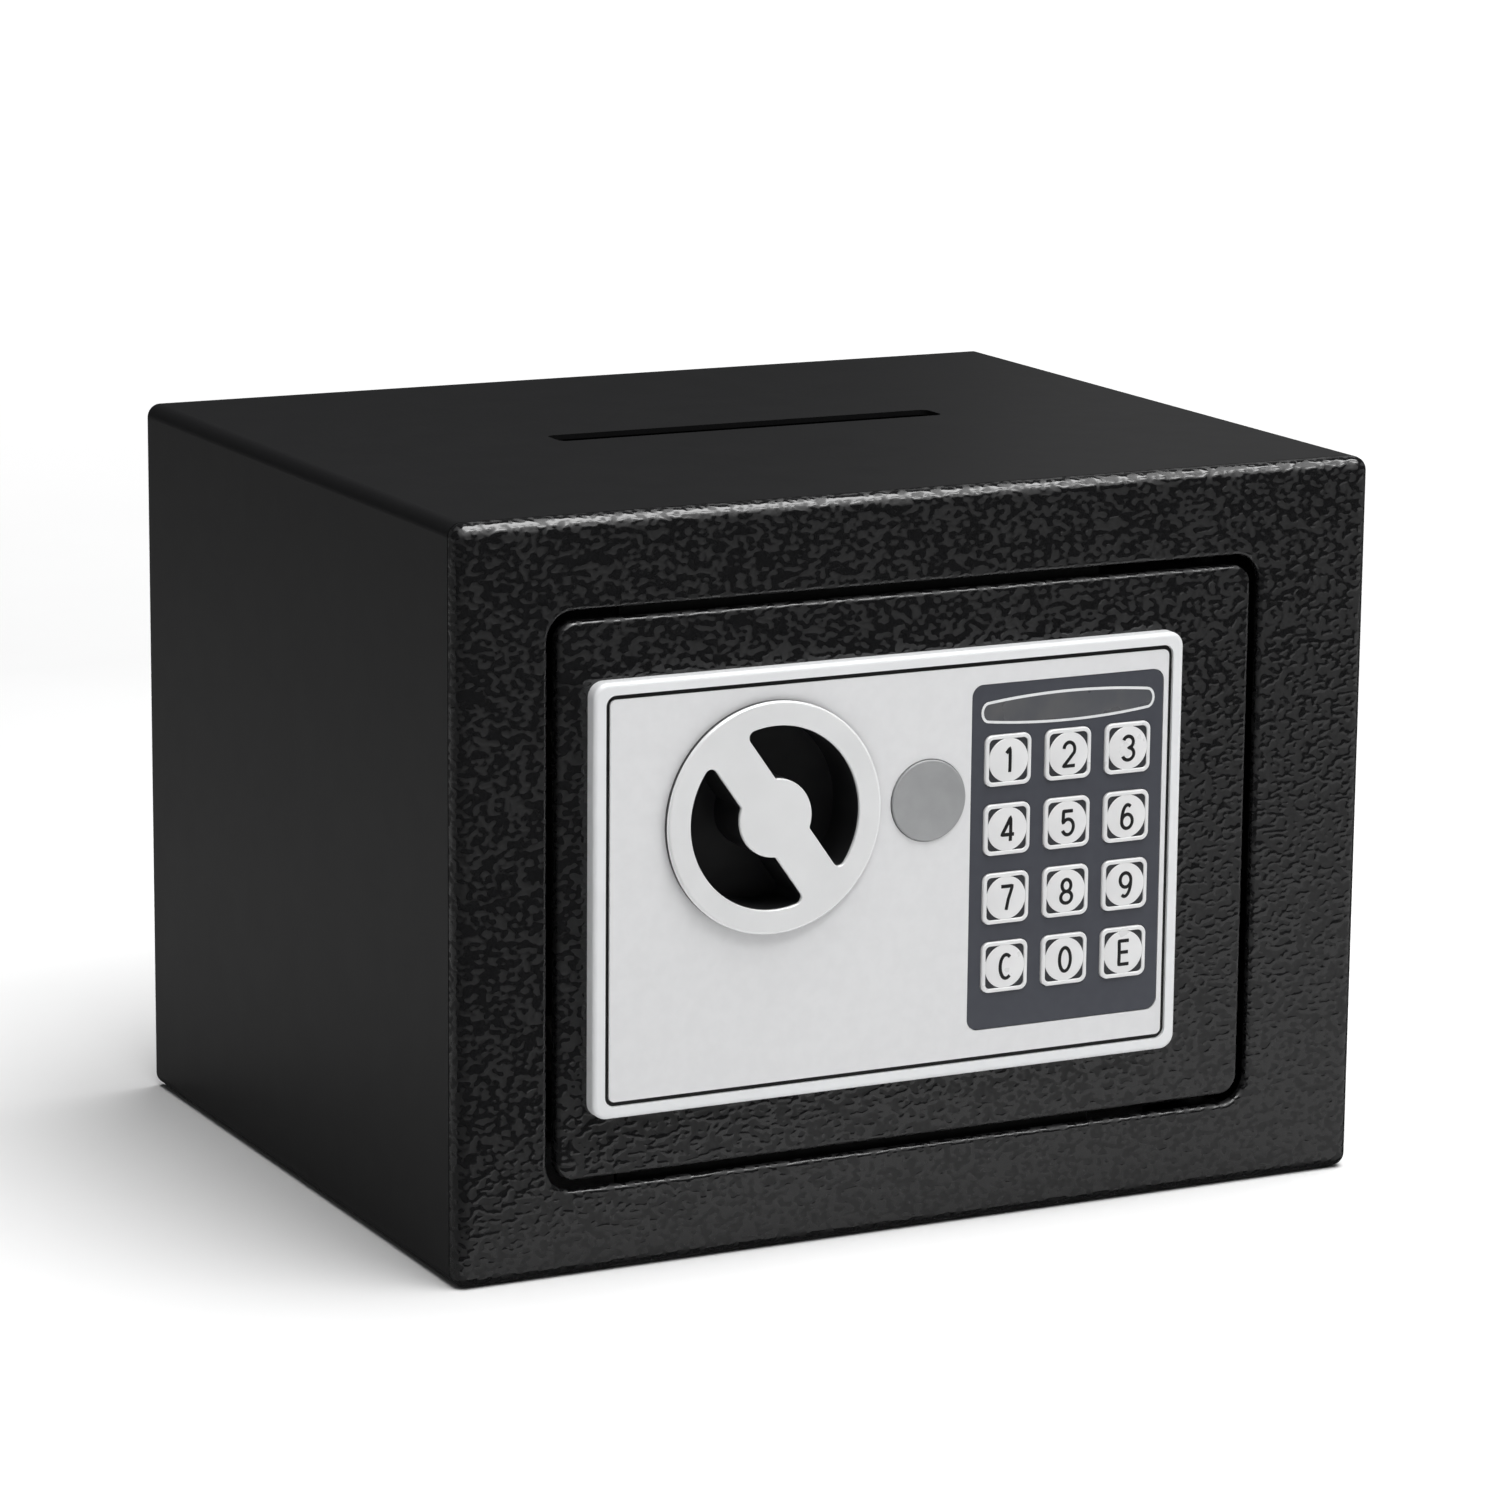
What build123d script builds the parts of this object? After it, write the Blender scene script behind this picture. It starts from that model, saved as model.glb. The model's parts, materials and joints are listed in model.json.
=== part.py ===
"""Coin bank built as a small steel safe: welded cabinet with a money slot, hinged door, and an electronic lock.

Frame: millimetres, +X to the right and +Z up as seen from the front, +Y towards the back.
The origin is under the middle of the whole object, on the surface that it stands on.
Depths inside the safe are written as levels: a level is measured back from the front plane of the steel,
so a negative level stands proud of the door. Elevation outlines are drawn with x to the right and z up.
"""

from build123d import *
import os

# ---------------------------------------------------------------- driving dimensions
BODY_W, BODY_D, BODY_H = 230.0, 185.0, 170.0
MID_Z = BODY_H / 2
SHEET_T = 1.2  # cabinet sheet
FRAME_T = 2.0  # front frame plate
FRAME_RETURN = 4.4  # depth of the frame's turned edge
FRAME_LIP = 9.0  # how far back its lip reaches inside the cabinet
SEAM = 0.4  # groove between frame and cabinet
DOOR_T = 3.0
BEND_R = 3.2  # outside bends of the cabinet
FACE_R = 3.0  # rolled front edge of the frame
SOFT_EDGE_R = 1.1  # broken edges of door and opening

OPENING_X, OPENING_Z = -3.8, 84.5
OPENING_W, OPENING_H, OPENING_R = 179.4, 130.2, 6.5
DOOR_GAP = 2.4
DOOR_W, DOOR_H, DOOR_R = OPENING_W - 2 * DOOR_GAP, OPENING_H - 2 * DOOR_GAP, 4.5
DOOR_LEFT = OPENING_X - DOOR_W / 2
DOOR_RIGHT = OPENING_X + DOOR_W / 2

SLOT_L, SLOT_W, SLOT_R = 101.0, 9.0, 2.0
SLOT_X, SLOT_LEVEL = 3.7, 99.0
ANCHOR_R, ANCHOR_SPACING = 5.0, 110.0
REAR_ANCHOR_Z = 100.0

PANEL_X, PANEL_Z = -10.0, 84.8
PANEL_W, PANEL_H, PANEL_R = 148.0, 98.0, 3.5
PANEL_FRONT, FASCIA_FRONT, FASCIA_BACK, TAPE_BACK = -3.6, -3.4, -2.9, -2.6
PANEL_FLOOR_BACK = -1.0
RIM_W, GROOVE_W, WELL_R = 2.8, 1.05, 2.4

KNOB_X, KNOB_Z = -40.7, 100.5
KNOB_FRONT, TRIM_BACK, KNOB_SEAT = -5.4, -4.6, -3.6
KNOB_R, KNOB_CUP_R = 26.3, 22.2
POCKET_R, HUB_R, BAR_HALF_W, BAR_ANGLE = 20.8, 8.9, 5.1, -54.5
POCKET_FLOOR, KNOB_CUP_BACK = 7.5, 9.5

LOCK_X, LOCK_Z = -1.6, KNOB_Z
CAP_R, CAP_STEM_R = 9.3, 8.7

KEYPAD_X, KEYPAD_Z, KEYPAD_W, KEYPAD_H = 34.1, 85.7, 49.4, 79.7
KEY_PITCH_X, KEY_PITCH_Z, KEY_TOP_Z = 15.5, 15.95, 108.0
KEY_SIZE, KEY_R = 11.8, 1.9
OVERLAY_FRONT, KEY_FRONT, KEY_TRAVEL = -3.3, -4.2, 0.8
KEY_ROWS = (("1", "2", "3"), ("4", "5", "6"), ("7", "8", "9"), ("c", "0", "e"))
WINDOW_Z, WINDOW_HALF_W, WINDOW_HALF_H = 119.2, 22.3, 3.5

HINGE_X, HINGE_LEVEL, HINGE_ROD_R = DOOR_RIGHT - 9.0, 7.0, 2.5
KNUCKLE_SPANS = ((30.0, 50.0), (119.0, 139.0))
LUG_SPANS = ((14.5, 17.5), (151.5, 154.5))

BOLT_R, BOLT_LEVEL, BOLT_THROW = 6.0, 9.5, 12.0
BOLT_ZS = (51.0, 118.0)
CARRIAGE_NEAR, CARRIAGE_FAR = 14.8, 16.3
CARRIAGE_LEFT, CARRIAGE_RIGHT = -64.0, -12.5
CAM_PIN_R, CAM_PIN_X, CAM_PIN_Z = 2.5, 6.0, 6.7  # the pin's place beside the knob's axis
CARRIAGE_POSTS = ((-56.0, 62.0), (-32.0, 62.0), (-58.0, 122.0))

COVER_X, COVER_Z, COVER_W, COVER_H = -9.75, 84.5, 151.5, 115.0
COVER_BACK, COVER_T = 39.5, 1.5
COVER_POSTS = ((-78.0, 135.0), (50.0, 136.0), (-78.0, 34.0), (-4.0, 34.0))
BEZEL_SCREWS = ((-73.0, 40.8), (59.0, 40.8), (-73.0, 128.8), (59.0, 128.8))

BATTERY_X, BATTERY_Z = 33.0, 62.0
CELL_R, CELL_L, CELL_PITCH = 7.1, 50.5, 14.6
TRAY_W, TRAY_H, TRAY_T, TRAY_NEAR, TRAY_FAR = 58.0, 60.8, 1.2, 22.5, 38.0

PLUNGER_X, PLUNGER_LEVEL, PLUNGER_R = 0.0, 15.55, 3.0
PLUNGER_TIP_Z, SOLENOID_BOTTOM, SOLENOID_TOP = 79.9, 46.0, 72.0
ARM_BOTTOM, ARM_TOP, NOTCH_HALF_W, NOTCH_DEPTH = 80.5, 90.5, 3.6, 4.6
CAM_ARM_NEAR, CAM_ARM_FAR, CAM_ARM_L = 20.0, 21.5, 19.0

RESET_X, RESET_Z, RESET_R = 50.0, 117.0, 3.0

# The knob stands furthest forward, so this puts the origin under the middle of the whole depth.
FRONT_Y = -(BODY_D + KNOB_FRONT) / 2


# ---------------------------------------------------------------- helpers
def slab(outline, near, far):
    """An elevation outline made solid between two levels."""
    plane = Plane(origin=(0, FRONT_Y + far, 0), x_dir=(1, 0, 0), z_dir=(0, -1, 0))
    return extrude(plane * outline, amount=far - near)


def rod(x, z, radius, near, far):
    """A round bar along Y between two levels."""
    return slab(Pos(x, z) * Circle(radius), near, far)


def block(x0, x1, near, far, z0, z1):
    """A box given by its limits."""
    size = Box(x1 - x0, far - near, z1 - z0)
    return Pos((x0 + x1) / 2, FRONT_Y + (near + far) / 2, (z0 + z1) / 2) * size


def upright(x, level, radius, z0, z1):
    """A round bar along Z."""
    return Pos(x, FRONT_Y + level, (z0 + z1) / 2) * Cylinder(radius, z1 - z0)


def crossbar(level, z, radius, x0, x1):
    """A round bar along X."""
    return Pos((x0 + x1) / 2, FRONT_Y + level, z) * Rot(0, 90, 0) * Cylinder(radius, x1 - x0)


def panel(x, z, width, height, radius):
    """A rounded rectangle in elevation."""
    return Pos(x, z) * RectangleRounded(width, height, radius)


def edges_at(solid, level):
    """The edges that lie wholly in one level."""
    y = FRONT_Y + level
    return solid.edges().filter_by_position(Axis.Y, y - 0.01, y + 0.01)


def group(*solids):
    return Compound(children=list(solids))


def hexagon(x, z, across_flats, near, far):
    return slab(Pos(x, z) * RegularPolygon(across_flats / 2, 6, major_radius=False), near, far)


# ---------------------------------------------------------------- cabinet
def cabinet_wrap():
    """One sheet bent round the sides, top and bottom, with the money slot and two floor anchor holes."""
    outer = panel(0, MID_Z, BODY_W, BODY_H, BEND_R)
    inner = panel(0, MID_Z, BODY_W - 2 * SHEET_T, BODY_H - 2 * SHEET_T, BEND_R - SHEET_T)
    wrap = slab(outer - inner, FRAME_RETURN + SEAM, BODY_D)
    slot = Pos(SLOT_X, FRONT_Y + SLOT_LEVEL) * RectangleRounded(SLOT_L, SLOT_W, SLOT_R)
    wrap -= Pos(0, 0, BODY_H - 10) * extrude(slot, amount=20)
    for x in (-ANCHOR_SPACING / 2, ANCHOR_SPACING / 2):
        wrap -= Pos(x, FRONT_Y + BODY_D / 2, 0) * Cylinder(ANCHOR_R, 10)
    return wrap


def back_panel():
    """A pan welded inside the rear edge of the wrap, with two wall anchor holes."""
    width, height = BODY_W - 2 * SHEET_T, BODY_H - 2 * SHEET_T
    flange_depth, radius = 12.0, BEND_R - SHEET_T
    pan = slab(panel(0, MID_Z, width, height, radius), BODY_D - flange_depth, BODY_D)
    hollow = panel(0, MID_Z, width - 2 * SHEET_T, height - 2 * SHEET_T, radius - 1.0)
    pan -= slab(hollow, BODY_D - flange_depth, BODY_D - SHEET_T)
    for x in (-ANCHOR_SPACING / 2, ANCHOR_SPACING / 2):
        pan -= rod(x, REAR_ANCHOR_Z, ANCHOR_R, BODY_D - 5, BODY_D + 5)
    return pan


def front_frame():
    """The front plate: rolled outer edge, a lip tucked inside the cabinet, an opening with a broken edge."""
    frame = slab(panel(0, MID_Z, BODY_W, BODY_H, BEND_R), 0, FRAME_RETURN)
    frame = fillet(edges_at(frame, 0), FACE_R)
    lip = panel(0, MID_Z, BODY_W - 2 * SHEET_T, BODY_H - 2 * SHEET_T, BEND_R - SHEET_T)
    frame += slab(lip, FRAME_RETURN, FRAME_LIP)
    hollow = panel(0, MID_Z, BODY_W - 2 * FRAME_T, BODY_H - 2 * FRAME_T, 1.2)
    frame -= slab(hollow, FRAME_T, FRAME_LIP)
    opening = slab(panel(OPENING_X, OPENING_Z, OPENING_W, OPENING_H, OPENING_R), -1, FRAME_RETURN)
    frame -= opening
    rim = [e for e in edges_at(frame, 0) if e.bounding_box().size.X < OPENING_W and near_opening(e)]
    return fillet(rim, SOFT_EDGE_R)


def near_opening(edge):
    """True for an edge on the rim of the door opening."""
    point = edge.center()
    off_x = abs(abs(point.X - OPENING_X) - OPENING_W / 2)
    off_z = abs(abs(point.Z - OPENING_Z) - OPENING_H / 2)
    return min(off_x, off_z) < 3.0


def hinge_lugs():
    """Two plates welded behind the frame that hold the hinge rod."""
    reach, half_w = 12.5, 9.0
    return group(
        *[
            block(HINGE_X - half_w, HINGE_X + half_w, FRAME_T, reach, z0, z1)
            - upright(HINGE_X, HINGE_LEVEL, HINGE_ROD_R, z0 - 1, z1 + 1)
            for z0, z1 in LUG_SPANS
        ]
    )


def hinge_rod():
    """The hinge pin, which runs the height of the door and has a head over the top lug."""
    head_r, head_t, tail = 4.0, 1.6, 2.0
    bottom, top = LUG_SPANS[0][0] - tail, LUG_SPANS[1][1]
    shank = upright(HINGE_X, HINGE_LEVEL, HINGE_ROD_R, bottom, top)
    return shank + upright(HINGE_X, HINGE_LEVEL, head_r, top, top + head_t)


def hinge_spacer():
    """A sleeve on the rod that carries the door's lower knuckle."""
    z0, z1 = LUG_SPANS[0][1], KNUCKLE_SPANS[0][0] - 0.2
    sleeve = upright(HINGE_X, HINGE_LEVEL, HINGE_ROD_R + 1.5, z0, z1)
    return sleeve - upright(HINGE_X, HINGE_LEVEL, HINGE_ROD_R + 0.05, z0 - 1, z1 + 1)


def door_stops():
    """Two strips behind the top and bottom of the opening that the closed door rests on."""
    x0, x1, behind_door, strip_t, lap = -75.0, 45.0, DOOR_T + 0.3, 1.5, 6.1
    top, bottom = OPENING_Z + OPENING_H / 2, OPENING_Z - OPENING_H / 2
    upper = block(x0, x1, FRAME_T, behind_door, top + 1, top + 9)
    upper += block(x0, x1, behind_door, behind_door + strip_t, top - lap, top + 9)
    lower = block(x0, x1, FRAME_T, behind_door, bottom - 9, bottom - 1)
    lower += block(x0, x1, behind_door, behind_door + strip_t, bottom - 9, bottom + lap)
    return group(upper, lower)


def floor_mat():
    """The felt mat on the cabinet's floor, punched over the anchor holes."""
    near, far, half_w, mat_t = FRAME_LIP + 0.5, 171.0, 111.5, 2.0
    outline = Pos(0, FRONT_Y + (near + far) / 2) * RectangleRounded(2 * half_w, far - near, 4.0)
    for x in (-ANCHOR_SPACING / 2, ANCHOR_SPACING / 2):
        outline -= Pos(x, FRONT_Y + BODY_D / 2) * Circle(ANCHOR_R + 3)
    return Pos(0, 0, SHEET_T) * extrude(outline, amount=mat_t)


# ---------------------------------------------------------------- door
def door_plate():
    """The flat door, with holes for the knob, the emergency lock, the keypad and the panel's screws."""
    plate = slab(panel(OPENING_X, OPENING_Z, DOOR_W, DOOR_H, DOOR_R), 0, DOOR_T)
    plate = fillet(edges_at(plate, 0), SOFT_EDGE_R)
    plate -= rod(KNOB_X, KNOB_Z, KNOB_CUP_R + 0.6, -1, DOOR_T + 1)
    plate -= rod(LOCK_X, LOCK_Z, 7.6, -1, DOOR_T + 1)
    plate -= slab(panel(KEYPAD_X, KEYPAD_Z, 47, 77, 2), -1, DOOR_T + 1)
    for x, z in BEZEL_SCREWS:
        plate -= rod(x, z, 1.7, -1, DOOR_T + 1)
    return plate


def hinge_knuckles():
    """Two tubes with flat feet, welded to the back of the door."""
    tube_r, clearance = 4.0, 0.05
    knuckles = []
    for z0, z1 in KNUCKLE_SPANS:
        knuckle = upright(HINGE_X, HINGE_LEVEL, tube_r, z0, z1)
        knuckle += block(HINGE_X - tube_r, HINGE_X + tube_r, DOOR_T, HINGE_LEVEL, z0, z1)
        knuckles.append(knuckle - upright(HINGE_X, HINGE_LEVEL, HINGE_ROD_R + clearance, z0 - 1, z1 + 1))
    return group(*knuckles)


def key_places():
    """(name, x, z) of every key, row by row."""
    for row, names in enumerate(KEY_ROWS):
        for column, name in enumerate(names):
            yield name, KEYPAD_X + (column - 1) * KEY_PITCH_X, KEY_TOP_Z - row * KEY_PITCH_Z


def panel_bezel():
    """The moulded panel: raised rim, sunk floor for the fascia, hollow back with screw bosses."""
    bezel = slab(panel(PANEL_X, PANEL_Z, PANEL_W, PANEL_H, PANEL_R), PANEL_FRONT, 0)
    bezel = fillet(edges_at(bezel, PANEL_FRONT), 1.1)
    well = panel(PANEL_X, PANEL_Z, PANEL_W - 2 * RIM_W, PANEL_H - 2 * RIM_W, WELL_R)
    bezel -= slab(well, PANEL_FRONT - 1, TAPE_BACK)
    hollow = panel(PANEL_X, PANEL_Z, PANEL_W - 4, PANEL_H - 4, 1.5)
    for x, z in BEZEL_SCREWS:
        hollow -= Pos(x, z) * Circle(3.5)
    bezel -= slab(hollow, PANEL_FLOOR_BACK, 1)
    bezel -= rod(KNOB_X, KNOB_Z, KNOB_CUP_R + 0.5, -5, 1)
    bezel -= rod(LOCK_X, LOCK_Z, CAP_STEM_R + 0.1, -5, 1)
    bezel -= slab(panel(KEYPAD_X, WINDOW_Z, 36, 4, 1.5), -5, 1)
    for _, x, z in key_places():
        bezel -= slab(panel(x, z, KEY_SIZE + 0.4, KEY_SIZE + 0.4, KEY_R), -5, 1)
    for x, z in BEZEL_SCREWS:
        bezel -= rod(x, z, 1.25, -1.9, 1)
    return bezel


def fascia_outline(inset, knob_hole_r):
    """The fascia's outline, set in from the rim's inner edge."""
    width, height = PANEL_W - 2 * (RIM_W + inset), PANEL_H - 2 * (RIM_W + inset)
    outline = panel(PANEL_X, PANEL_Z, width, height, WELL_R - inset)
    outline -= Pos(KNOB_X, KNOB_Z) * Circle(knob_hole_r)
    outline -= Pos(LOCK_X, LOCK_Z) * Circle(CAP_R + 0.2)
    return outline - panel(KEYPAD_X, KEYPAD_Z, KEYPAD_W + 0.3, KEYPAD_H + 0.3, 2.8)


def fascia_tape():
    """Black adhesive sheet under the fascia, which shows as a dark line in the groove round it."""
    return slab(fascia_outline(0.1, KNOB_CUP_R + 1.0), FASCIA_BACK, TAPE_BACK)


def fascia_plate():
    """The thin aluminium face of the panel."""
    return slab(fascia_outline(GROOVE_W, KNOB_CUP_R + 0.8), FASCIA_FRONT, FASCIA_BACK)


def window_outline(grow):
    """The status window: long bowed sides and round ends."""
    end_x, half_w = WINDOW_HALF_W - 1.8 + grow * 0.7, WINDOW_HALF_W + grow
    end_z, half_h = 2.45 + grow, WINDOW_HALF_H + grow
    sides = [
        ThreePointArc((-end_x, end_z), (0, half_h), (end_x, end_z)),
        ThreePointArc((end_x, end_z), (half_w, 0), (end_x, -end_z)),
        ThreePointArc((end_x, -end_z), (0, -half_h), (-end_x, -end_z)),
        ThreePointArc((-end_x, -end_z), (-half_w, 0), (-end_x, end_z)),
    ]
    return Pos(KEYPAD_X, WINDOW_Z) * make_face(Curve() + sides)


def keypad_overlay():
    """The dark sheet round the keys."""
    outline = panel(KEYPAD_X, KEYPAD_Z, KEYPAD_W, KEYPAD_H, 2.7) - window_outline(0.05)
    for _, x, z in key_places():
        outline -= panel(x, z, KEY_SIZE + 0.3, KEY_SIZE + 0.3, KEY_R)
    return slab(outline, OVERLAY_FRONT, TAPE_BACK)


def status_window():
    """The tinted window over the status lights."""
    return slab(window_outline(0), OVERLAY_FRONT - 0.1, TAPE_BACK)


def key(x, z):
    """One key: square body, round raised top, and a flange that keeps it behind the panel."""
    body = slab(panel(x, z, KEY_SIZE, KEY_SIZE, KEY_R), KEY_FRONT + 0.4, -0.95)
    body = fillet(edges_at(body, KEY_FRONT + 0.4), 0.3)
    top = rod(x, z, 5.3, KEY_FRONT, KEY_FRONT + 0.5)
    top = fillet(edges_at(top, KEY_FRONT), 0.25)
    return body + top + slab(panel(x, z, 13.8, 13.8, 1.5), -0.95, -0.35)


def keypad_mat():
    """The rubber contact mat, pressed by the keys."""
    return slab(panel(KEYPAD_X, 82.0, 46, 64, 2), 0.6, 1.6)


def circuit_board():
    return slab(panel(KEYPAD_X, KEYPAD_Z, 45, 75, 1), 1.7, 3.3)


def board_parts():
    """Status lights in front of the board; chip, sounder, plug and reset switch behind it."""
    lights = [rod(KEYPAD_X + dx, WINDOW_Z, 1.5, -2.3, 1.7) for dx in (-12, 0, 12)]
    chip = block(26, 40, 3.3, 5.2, 92, 106)
    sounder = rod(47, 99, 6, 3.3, 8.3)
    plug = block(16, 24, 3.3, 8, 108, 116)
    switch = block(RESET_X - 3, RESET_X + 3, 3.3, 5.2, RESET_Z - 3, RESET_Z + 3)
    return group(*lights, chip, sounder, plug, switch)


def bezel_screws():
    """Four screws from behind the door into the panel's bosses."""
    return group(*[rod(x, z, 1.25, -1.8, DOOR_T) + rod(x, z, 3, DOOR_T, DOOR_T + 2) for x, z in BEZEL_SCREWS])


# ---------------------------------------------------------------- knob
def pockets():
    """The two finger pockets, either side of a bar with a round hub."""
    outline = Circle(POCKET_R) - Circle(HUB_R) - Rot(0, 0, BAR_ANGLE) * Rectangle(60, 2 * BAR_HALF_W)
    outer = [v for v in outline.vertices() if (v.X**2 + v.Y**2) ** 0.5 > 15]
    outline = fillet(outer, 1.6)
    inner = [v for v in outline.vertices() if (v.X**2 + v.Y**2) ** 0.5 < HUB_R + 0.5]
    outline = fillet(inner, 0.6)
    return Pos(KNOB_X, KNOB_Z) * outline


def knob_body():
    """The black cup of the knob, with deep finger pockets and a socket for the spindle."""
    body = rod(KNOB_X, KNOB_Z, KNOB_R, TRIM_BACK, KNOB_SEAT)
    body += rod(KNOB_X, KNOB_Z, KNOB_CUP_R, KNOB_SEAT, KNOB_CUP_BACK)
    body -= slab(pockets(), TRIM_BACK - 1, POCKET_FLOOR)
    return body - rod(KNOB_X, KNOB_Z, 4, 1, KNOB_CUP_BACK + 1)


def knob_trim():
    """The bright face of the knob: ring, bar and hub."""
    trim = fillet(edges_at(rod(KNOB_X, KNOB_Z, KNOB_R, KNOB_FRONT, TRIM_BACK), KNOB_FRONT), 0.6)
    trim -= slab(pockets(), KNOB_FRONT - 1, TRIM_BACK + 1)
    edge = [e for e in edges_at(trim, KNOB_FRONT) if e.distance_to((KNOB_X, FRONT_Y + KNOB_FRONT, KNOB_Z)) < 21]
    return fillet(edge, 0.3)


def knob_spindle():
    return rod(KNOB_X, KNOB_Z, 4, 1, 13.2) - rod(KNOB_X, KNOB_Z, 1.6, 9, 14)


def knob_bridge():
    """The bearing plate that bridges the knob's hole behind the door."""
    half_w, half_h, plate_t, near, far = 10.0, 26.5, 1.5, 10.0, 11.5
    x0, x1 = KNOB_X - half_w, KNOB_X + half_w
    bridge = block(x0, x1, near, far, KNOB_Z - half_h, KNOB_Z + half_h)
    for side in (-1, 1):
        z0, z1 = sorted((KNOB_Z + side * half_h, KNOB_Z + side * (half_h - plate_t)))
        bridge += block(x0, x1, DOOR_T, near, z0, z1)
    return bridge - rod(KNOB_X, KNOB_Z, 4.05, near - 1, far + 1)


def drive_cam():
    """The disc on the spindle, with the off-centre pin that throws the bolts."""
    disc = rod(KNOB_X, KNOB_Z, 13, 11.8, 14) - rod(KNOB_X, KNOB_Z, 4, 11, 15)
    return disc + rod(KNOB_X + CAM_PIN_X, KNOB_Z + CAM_PIN_Z, CAM_PIN_R, 14, CARRIAGE_FAR + 0.7)


def spindle_screw():
    return rod(KNOB_X, KNOB_Z, 1.6, 9, 13.2) + rod(KNOB_X, KNOB_Z, 3.6, 13.2, 14.4)


# ---------------------------------------------------------------- bolt work
def carriage_slot(x, z):
    """A guide slot as long as the bolts' throw, for a post that stands at its left end at rest."""
    play = 0.1
    left, right = x - 2.5 - play, x + BOLT_THROW + 2.5 + play
    return Pos((left + right) / 2, z) * SlotOverall(right - left, 2 * (2.5 + play))


def bolt_carriage():
    """The sliding plate: ears for the bolts, cam slot, guide slots, and an arm with two latch notches."""
    z0, z1 = BOLT_ZS[0] - 8, BOLT_ZS[1] + 8
    width, height = CARRIAGE_RIGHT - CARRIAGE_LEFT, z1 - z0
    outline = panel((CARRIAGE_LEFT + CARRIAGE_RIGHT) / 2, (z0 + z1) / 2, width, height, 1)
    arm_end = BOLT_THROW + NOTCH_HALF_W + 4
    outline += Pos((CARRIAGE_RIGHT - 4 + arm_end) / 2, (ARM_BOTTOM + ARM_TOP) / 2) * Rectangle(
        arm_end - CARRIAGE_RIGHT + 4, ARM_TOP - ARM_BOTTOM
    )
    notch_top = ARM_BOTTOM + NOTCH_DEPTH
    for x, ramp in ((0.0, 2.4), (BOLT_THROW, 0.0)):
        left, right = PLUNGER_X + x - NOTCH_HALF_W, PLUNGER_X + x + NOTCH_HALF_W
        corners = ((left, ARM_BOTTOM - 1), (left, notch_top), (right, notch_top), (right + ramp, ARM_BOTTOM - 1))
        outline -= make_face(Polyline(*corners, close=True))
    outline -= Pos(KNOB_X + CAM_PIN_X, KNOB_Z + 7.85) * Rectangle(2 * CAM_PIN_R + 0.8, 9.1)
    for x, z in CARRIAGE_POSTS:
        outline -= carriage_slot(x, z)
    carriage = slab(outline, CARRIAGE_NEAR, CARRIAGE_FAR)
    for z in BOLT_ZS:
        carriage += block(CARRIAGE_LEFT, CARRIAGE_LEFT + 1.5, 5.5, CARRIAGE_FAR, z - 8, z + 8)
        carriage -= crossbar(BOLT_LEVEL, z, 3, CARRIAGE_LEFT - 1, CARRIAGE_LEFT + 2)
    return carriage


def locking_bolts():
    """Two round bolts, riveted to the carriage's ears."""
    tip = DOOR_LEFT + 1.0
    bolts = []
    for z in BOLT_ZS:
        bolt = crossbar(BOLT_LEVEL, z, BOLT_R, tip, CARRIAGE_LEFT)
        bolt = chamfer(bolt.edges().sort_by(Axis.X)[0], 1.0)
        bolts.append(bolt + crossbar(BOLT_LEVEL, z, 3, CARRIAGE_LEFT, CARRIAGE_LEFT + 1.5))
    return group(*bolts)


def bolt_guide():
    """The bracket near the door's free edge that the bolts run through."""
    x0, x1 = -81.0, -79.0
    guide = block(x0, x1, DOOR_T, 19, BOLT_ZS[0] - 9, BOLT_ZS[1] + 9)
    guide += block(x0, x1 + 7, DOOR_T, DOOR_T + 2, 70, 99)
    for z in BOLT_ZS:
        guide -= crossbar(BOLT_LEVEL, z, BOLT_R + 0.1, x0 - 1, x1 + 1)
    return guide


def carriage_posts():
    """Studs welded to the door that the carriage slides on: a shoulder, then a smooth neck in its slot."""
    return group(
        *[
            rod(x, z, 4, DOOR_T, CARRIAGE_NEAR - 0.1)
            + rod(x, z, 2.5, CARRIAGE_NEAR - 0.1, CARRIAGE_FAR + 0.2)
            - rod(x, z, 1.25, 9, CARRIAGE_FAR + 1)
            for x, z in CARRIAGE_POSTS
        ]
    )


def carriage_screws():
    return group(
        *[
            rod(x, z, 1.25, 9, CARRIAGE_FAR + 0.2) + rod(x, z, 4.5, CARRIAGE_FAR + 0.2, CARRIAGE_FAR + 2)
            for x, z in CARRIAGE_POSTS
        ]
    )


# ---------------------------------------------------------------- solenoid latch
def solenoid_frame():
    """The C-shaped frame of the latch solenoid, on a foot welded to the door."""
    x0, x1, wall = PLUNGER_X - 9, PLUNGER_X + 9, 1.5
    frame = block(x0, x1, 8, 8 + wall, SOLENOID_BOTTOM, SOLENOID_TOP)
    frame += block(x0, x1, 8, 21.8, SOLENOID_TOP - wall, SOLENOID_TOP)
    frame += block(x0, x1, 8, 21.8, SOLENOID_BOTTOM, SOLENOID_BOTTOM + wall)
    frame += block(x0, x1, DOOR_T, 8, 52, 66)
    return frame - upright(PLUNGER_X, PLUNGER_LEVEL, PLUNGER_R + 0.1, SOLENOID_BOTTOM - 1, SOLENOID_TOP + 1)


def solenoid_coil():
    z0, z1 = SOLENOID_BOTTOM + 1.5, SOLENOID_TOP - 1.5
    coil = upright(PLUNGER_X, PLUNGER_LEVEL, 5.8, z0, z1)
    return coil - upright(PLUNGER_X, PLUNGER_LEVEL, PLUNGER_R + 0.1, z0 - 1, z1 + 1)


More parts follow.
